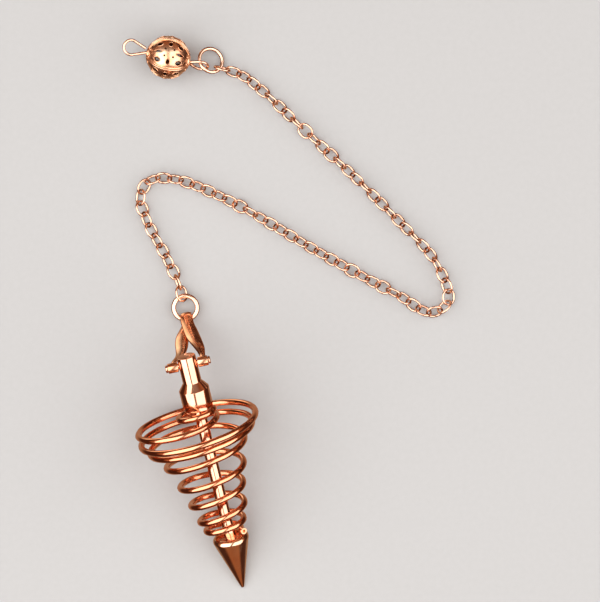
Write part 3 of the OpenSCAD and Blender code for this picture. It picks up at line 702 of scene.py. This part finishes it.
def makeBead():
    place = (Matrix.Translation(layout["beadAt"] * mm) @ turned(layout["eyeHeading"], "Z")
             @ turned(90 + layout["eyeDip"] - bead["tilt"], "Y") @ turned(bead["roll"], "Z"))
    clearSelection()
    bpy.ops.mesh.primitive_uv_sphere_add(segments=bead["segments"], ring_count=bead["rings"],
                                         radius=bead["shell"] * mm)
    shell = bpy.context.object
    wall = shell.modifiers.new("wall", "SOLIDIFY")
    wall.thickness = bead["wall"] * mm
    wall.offset = -1
    bpy.ops.object.modifier_apply(modifier="wall")

    def onShell(rise, side, reach, twist=0):
        way = turned(side, "Z") @ turned(90 + rise, "Y")
        return way @ shifted(0, 0, reach) @ turned(twist, "Z")

    def leafCutter(long, wide):  # a pointed leaf, deep enough to pierce the wall
        clearSelection()
        bpy.ops.mesh.primitive_circle_add(vertices=bead["leafSides"], radius=long / 2 * mm,
                                          fill_type="NGON")
        leaf = bpy.context.object
        bend = (long * long / wide + wide) / 4
        bpy.ops.object.mode_set(mode="EDIT")
        mesh = bmesh.from_edit_mesh(leaf.data)
        for vertex in mesh.verts:
            half = math.sqrt(bend ** 2 - (vertex.co.x / mm) ** 2) - bend + wide / 2
            vertex.co.y = math.copysign(max(half, 0) * mm, vertex.co.y)
        bmesh.update_edit_mesh(leaf.data)
        bpy.ops.mesh.select_all(action="SELECT")
        bpy.ops.mesh.remove_doubles(threshold=weld["lathe"])
        bpy.ops.mesh.extrude_region_move(
            TRANSFORM_OT_translate={"value": (0, 0, bead["cutDepth"] * mm)})
        bpy.ops.mesh.select_all(action="SELECT")
        bpy.ops.mesh.normals_make_consistent(inside=False)
        bpy.ops.object.mode_set(mode="OBJECT")
        return leaf

    def leafRim(long, wide):  # the thin raised wire round an opening
        clearSelection()
        bpy.ops.mesh.primitive_torus_add(major_radius=mm, minor_radius=bead["rimWire"] * mm,
                                         major_segments=bead["rimSteps"],
                                         minor_segments=bead["rimSides"])
        rim = bpy.context.object
        bpy.ops.object.mode_set(mode="EDIT")
        bpy.ops.mesh.select_all(action="SELECT")
        bpy.ops.transform.resize(value=(long * bead["rimLong"], wide * bead["rimWide"], 1))
        bpy.ops.object.mode_set(mode="OBJECT")
        bpy.ops.object.shade_smooth()
        return rim
    clearSelection()
    bpy.ops.mesh.primitive_cylinder_add(vertices=bead["dotSides"], radius=bead["dot"] * mm,
                                        depth=bead["cutDepth"] * mm)
    dot = bpy.context.object
    clearSelection()
    bpy.ops.mesh.primitive_uv_sphere_add(segments=bead["pearlSides"], ring_count=bead["pearlRings"],
                                         radius=bead["pearl"] * mm)
    pearl = bpy.context.object
    bpy.ops.object.shade_smooth()
    spares = {size: (leafCutter(*bead[size]), leafRim(*bead[size]))
              for size in ("petal", "slot", "middle")}

    def spread(pattern, where):
        copy = pattern.copy()
        copy.data = pattern.data.copy()
        bpy.context.collection.objects.link(copy)
        return setDown(copy, where)
    cutters, trims = [], []

    def opening(size, rise, side, twist=0):
        cutter, rim = spares[size]
        cutters.append(spread(cutter, onShell(rise, side, bead["cutFrom"], twist)))
        trims.append(spread(rim, onShell(rise, side, bead["shell"] - bead["rimSink"], twist)))

    def dotAt(rise, side):
        cutters.append(spread(dot, onShell(rise, side, bead["shell"])))

    def pearlAt(rise, side):
        trims.append(spread(pearl, onShell(rise, side, bead["shell"] - bead["pearlSink"])))
    for panel in range(bead["panels"]):
        middle = 360 * (panel + 0.5) / bead["panels"]
        for rise in (-1, 1):
            for side in (-1, 1):
                opening("petal", rise * bead["rise"], middle + side * bead["spread"])
                dotAt(rise * bead["dotRise"], middle + side * bead["dotSpread"])
            opening("slot", rise * bead["rise"], middle)
            opening("middle", 0, middle + rise * bead["spread"], 90)
        pearlAt(0, middle)
    for i in range(bead["poleDots"]):
        for way in (-1, 1):
            dotAt(way * bead["poleRise"], 360 * (i + 0.5) / bead["poleDots"])
    for i in range(bead["pearls"]):  # a beaded line round each end cap
        for way in (-1, 1):
            pearlAt(way * bead["pearlRise"], 360 * (i + 0.5) / bead["pearls"])
    clearSelection()
    bpy.ops.mesh.primitive_cylinder_add(vertices=bead["boreSides"], radius=bead["bore"] * mm,
                                        depth=bead["boreDepth"] * mm)
    cutters.append(bpy.context.object)
    cutter = joined("beadCutter", cutters)
    pick(shell)
    pierce = shell.modifiers.new("pierce", "BOOLEAN")
    pierce.operation = "DIFFERENCE"
    pierce.solver = "EXACT"
    pierce.use_self = True
    pierce.object = cutter
    bpy.ops.object.modifier_apply(modifier="pierce")
    bpy.ops.object.shade_smooth_by_angle(angle=math.radians(smoothTo["shell"]))
    line, half = bead["ribLine"], bead["rib"] / 2
    mid, low = bead["outer"] - line, bead["shell"] - bead["ribSink"]
    bend, steps = bead["lineTurn"], bead["lineSteps"]
    profile = [(low, -half)] + rounded(mid, -half + line, line, -bend, 2 * bend, steps)
    profile += rounded(mid, half - line, line, -2 * bend, bend, steps) + [(low, half), (low, -half)]
    parts = [shell] + trims
    for turn in (0, 90):
        rib = turnOnLathe("rib", profile, aroundSteps["rib"])
        parts.append(setDown(rib, turned(turn, "Z") @ turned(90, "X")))
    bore, boss, lip, edge = bead["bore"], bead["boss"], bead["lip"], bead["bossEdge"]
    high = math.sqrt(bead["outer"] ** 2 - boss ** 2) - bead["bossSink"]
    under = high - bead["bossDepth"]
    profile = [(bore, under)]
    profile += rounded(bore + lip, high + bead["lipRise"], lip, 180, 90, bead["lipSteps"])
    profile += rounded(boss - edge, high, edge, 90, 0) + [(boss, under), (bore, under)]
    for way in (0, 180):
        cap = turnOnLathe("cap", profile, aroundSteps["small"])
        parts.append(setDown(cap, turned(way, "X")))
    whole = joined("piercedBead", parts)
    for pair in spares.values():
        for spare in pair:
            bpy.data.objects.remove(spare)
    for spare in (dot, pearl, cutter):
        bpy.data.objects.remove(spare)
    return dressed(setDown(whole, place), shellFinish, "pierced_shell", "bead")


makeBead()
print("jewel finished")

# the table's size and the clip range are in metres
studio = {"floor": (0.44, 0.458, 0.472), "paperShade": 0.94, "paperGrain": 900,
          "paperRoughness": 0.9, "tableSize": 3, "tableDrop": 0.03, "lampColour": (1, 0.985, 0.96),
          "backdrop": 0.7, "cameraAt": (2.17, 2.4, 500), "frameWidth": 127.5, "sensor": 36,
          "clip": (0.01, 20)}
# colour of the dim room by height, from straight down (0) to overhead (1)
roomTones = [(0.1, (0.40, 0.26, 0.17)), (0.22, (0.07, 0.028, 0.018)), (0.49, (0.06, 0.02, 0.01)),
             (0.56, (0.36, 0.14, 0.06)), (0.75, (0.22, 0.09, 0.045)), (1, (0.42, 0.36, 0.31))]
# a lit patch low beyond the bail, by compass heading, climb and half angles
lowGlow = {"heading": 125, "climb": -30, "core": 6, "edge": 17, "tone": (1.7, 1.42, 1.1)}
softBoxes = [  # angles from overhead to the side and towards the bob's tip, then metres and watts
    {"name": "leftBox", "side": -38, "far": 10,
     "away": 0.75, "wide": 0.95, "long": 1.26, "power": 9.3},
    {"name": "rightBox", "side": 42, "far": 10,
     "away": 0.75, "wide": 0.97, "long": 1.26, "power": 8}]


def makeTable():
    clearSelection()
    bpy.ops.mesh.primitive_plane_add(size=studio["tableSize"],
                                     location=(0, 0, -studio["tableDrop"] * mm))
    floor = bpy.context.object
    floor.name = "paleTable"
    paper = bpy.data.materials.new("palePaper")
    paper.use_nodes = True
    shader = paper.node_tree.nodes["Principled BSDF"]
    shader.inputs["Roughness"].default_value = studio["paperRoughness"]
    grain = paper.node_tree.nodes.new("ShaderNodeTexNoise")
    grain.inputs["Scale"].default_value = studio["paperGrain"]
    where = paper.node_tree.nodes.new("ShaderNodeTexCoord")
    tone = paper.node_tree.nodes.new("ShaderNodeValToRGB")
    tone.color_ramp.elements[0].color = (*[c * studio["paperShade"] for c in studio["floor"]], 1)
    tone.color_ramp.elements[1].color = (*studio["floor"], 1)
    paper.node_tree.links.new(where.outputs["Object"], grain.inputs["Vector"])
    paper.node_tree.links.new(grain.outputs["Fac"], tone.inputs["Fac"])
    paper.node_tree.links.new(tone.outputs["Color"], shader.inputs["Base Color"])
    floor.data.materials.append(paper)
    floor.visible_glossy = False


def makeLamps():
    for box in softBoxes:
        light = bpy.data.lights.new(box["name"], "AREA")
        light.shape = "RECTANGLE"
        light.size, light.size_y = box["wide"], box["long"]
        light.energy = box["power"]
        light.color = studio["lampColour"]
        lamp = bpy.data.objects.new(box["name"], light)
        bpy.context.collection.objects.link(lamp)
        way = turned(box["far"], "X") @ turned(box["side"], "Y")
        lamp.matrix_world = way @ Matrix.Translation((0, 0, box["away"]))
        lamp.visible_camera = False


def makeRoom():  # what the metal mirrors, and a plain backdrop for the camera
    world = bpy.data.worlds.new("roomLight")
    bpy.context.scene.world = world
    world.use_nodes = True
    nodes, links = world.node_tree.nodes, world.node_tree.links
    back = nodes["Background"]
    where = nodes.new("ShaderNodeTexCoord")
    split = nodes.new("ShaderNodeSeparateXYZ")
    ramp = nodes.new("ShaderNodeValToRGB")
    while len(ramp.color_ramp.elements) < len(roomTones):
        ramp.color_ramp.elements.new(0.5)
    for stop, (height, tone) in zip(ramp.color_ramp.elements, roomTones):
        stop.position = height
        stop.color = (*tone, 1)
    climb = nodes.new("ShaderNodeMapRange")
    climb.inputs["From Min"].default_value = -1
    links.new(where.outputs["Generated"], split.inputs[0])
    links.new(split.outputs["Z"], climb.inputs["Value"])
    links.new(climb.outputs["Result"], ramp.inputs["Fac"])
    climbTo = math.radians(lowGlow["climb"])
    toward = nodes.new("ShaderNodeVectorMath")
    toward.operation = "DOT_PRODUCT"
    glowWay = flatWay(lowGlow["heading"]) * math.cos(climbTo) + up * math.sin(climbTo)
    toward.inputs[1].default_value = glowWay
    links.new(where.outputs["Generated"], toward.inputs[0])
    reach = nodes.new("ShaderNodeMapRange")
    reach.inputs["From Min"].default_value = math.cos(math.radians(lowGlow["edge"]))
    reach.inputs["From Max"].default_value = math.cos(math.radians(lowGlow["core"]))
    links.new(toward.outputs["Value"], reach.inputs["Value"])
    glow = nodes.new("ShaderNodeMix")
    glow.data_type = "RGBA"
    glow.inputs["B"].default_value = (*lowGlow["tone"], 1)
    links.new(reach.outputs["Result"], glow.inputs["Factor"])
    links.new(ramp.outputs["Color"], glow.inputs["A"])
    links.new(glow.outputs["Result"], back.inputs["Color"])
    seen = nodes.new("ShaderNodeBackground")  # what shows past the table's edge
    seen.inputs["Color"].default_value = (studio["backdrop"],) * 3 + (1,)
    ray = nodes.new("ShaderNodeLightPath")
    choice = nodes.new("ShaderNodeMixShader")
    links.new(ray.outputs["Is Camera Ray"], choice.inputs["Fac"])
    links.new(back.outputs["Background"], choice.inputs[1])
    links.new(seen.outputs["Background"], choice.inputs[2])
    links.new(choice.outputs["Shader"], nodes["World Output"].inputs["Surface"])


def makeCamera():
    view = bpy.data.cameras.new("overhead")
    camera = bpy.data.objects.new("overhead", view)
    bpy.context.collection.objects.link(camera)
    camera.location = Vector(studio["cameraAt"]) * mm
    view.sensor_fit = "HORIZONTAL"
    view.sensor_width = studio["sensor"]
    view.lens = studio["sensor"] * studio["cameraAt"][2] / studio["frameWidth"]
    view.clip_start, view.clip_end = studio["clip"]
    bpy.context.scene.camera = camera


makeTable()
makeLamps()
makeRoom()
makeCamera()
bpy.context.scene.view_settings.view_transform = "Standard"
bpy.context.view_layer.update()
print("studio set")
